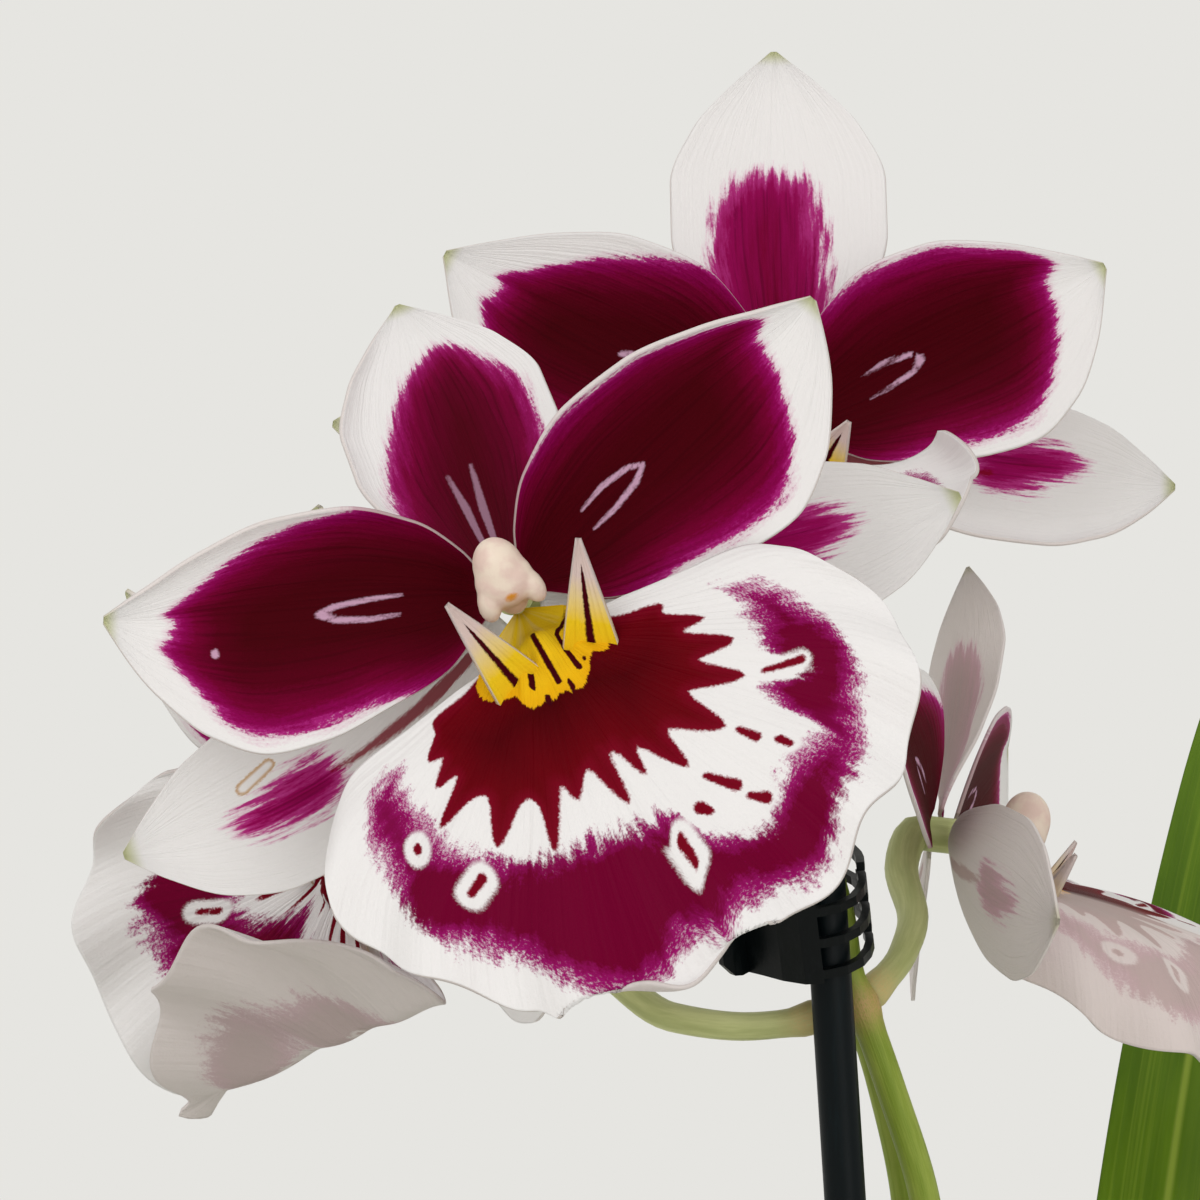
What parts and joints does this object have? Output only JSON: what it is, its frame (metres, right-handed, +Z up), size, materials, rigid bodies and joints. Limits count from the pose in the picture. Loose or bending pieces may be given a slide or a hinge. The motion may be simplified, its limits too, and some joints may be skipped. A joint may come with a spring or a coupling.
{
  "type": "potted pansy orchid",
  "caption": "Potted pansy orchid with four open purple, white and crimson blooms on two spikes clipped to a stake.",
  "frame": {"origin": "middle of the pot's flat base", "axes": "+Z up, -Y towards the viewer of the front bloom, +X to that viewer's right"},
  "size_m": [0.3568, 0.2785, 0.3944],
  "materials": {
    "pot": "matt",
    "bark": "rough",
    "bulb": "satin",
    "leaf": "satin",
    "spike": "satin",
    "pedicel": "satin",
    "stake": "satin",
    "clip": "satin",
    "metal": "bright",
    "petal": "velvet",
    "sepal": "satin",
    "lip": "satin",
    "column": "satin"
  },
  "bodies": {
    "plant": {"bark_bed": "bark", "bloom_back_column": "column", "bloom_back_dorsal_sepal": "sepal", "bloom_back_lip": "lip", "bloom_back_pedicel": "pedicel", "bloom_back_petal_left": "petal", "bloom_back_petal_right": "petal", "bloom_back_sepal_left": "sepal", "bloom_back_sepal_right": "sepal", "bloom_front_column": "column", "bloom_front_dorsal_sepal": "sepal", "bloom_front_lip": "lip", "bloom_front_pedicel": "pedicel", "bloom_front_petal_left": "petal", "bloom_front_petal_right": "petal", "bloom_front_sepal_left": "sepal", "bloom_front_sepal_right": "sepal", "bloom_left_column": "column", "bloom_left_dorsal_sepal": "sepal", "bloom_left_lip": "lip", "bloom_left_pedicel": "pedicel", "bloom_left_petal_left": "petal", "bloom_left_petal_right": "petal", "bloom_left_sepal_left": "sepal", "bloom_left_sepal_right": "sepal", "bloom_right_column": "column", "bloom_right_dorsal_sepal": "sepal", "bloom_right_lip": "lip", "bloom_right_pedicel": "pedicel", "bloom_right_petal_left": "petal", "bloom_right_petal_right": "petal", "bloom_right_sepal_left": "sepal", "bloom_right_sepal_right": "sepal", "clip_jaw_rear": "lip", "clip_pin": "lip", "clip_spring": "lip", "leaf_1": "leaf", "leaf_2": "leaf", "leaf_3": "leaf", "leaf_4": "leaf", "leaf_5": "leaf", "leaf_6": "leaf", "pot": "pot", "pseudobulb_1": "bulb", "pseudobulb_2": "bulb", "pseudobulb_3": "bulb", "spike_1": "spike", "spike_2": "spike", "stake": "stake"},
    "clip_jaw": {"clip_jaw_front": "lip"}
  },
  "joints": [
    {"name": "clip_hinge", "type": "hinge", "parent": "plant", "child": "clip_jaw", "pos_m": [-0.01963, 0.0004, 0.29568], "axis": [0.1248, 0.2924, -0.9481], "range_deg": [0, 30], "stiffness_Nm_per_rad": 0.02, "springref_deg": -34.38}
  ]
}
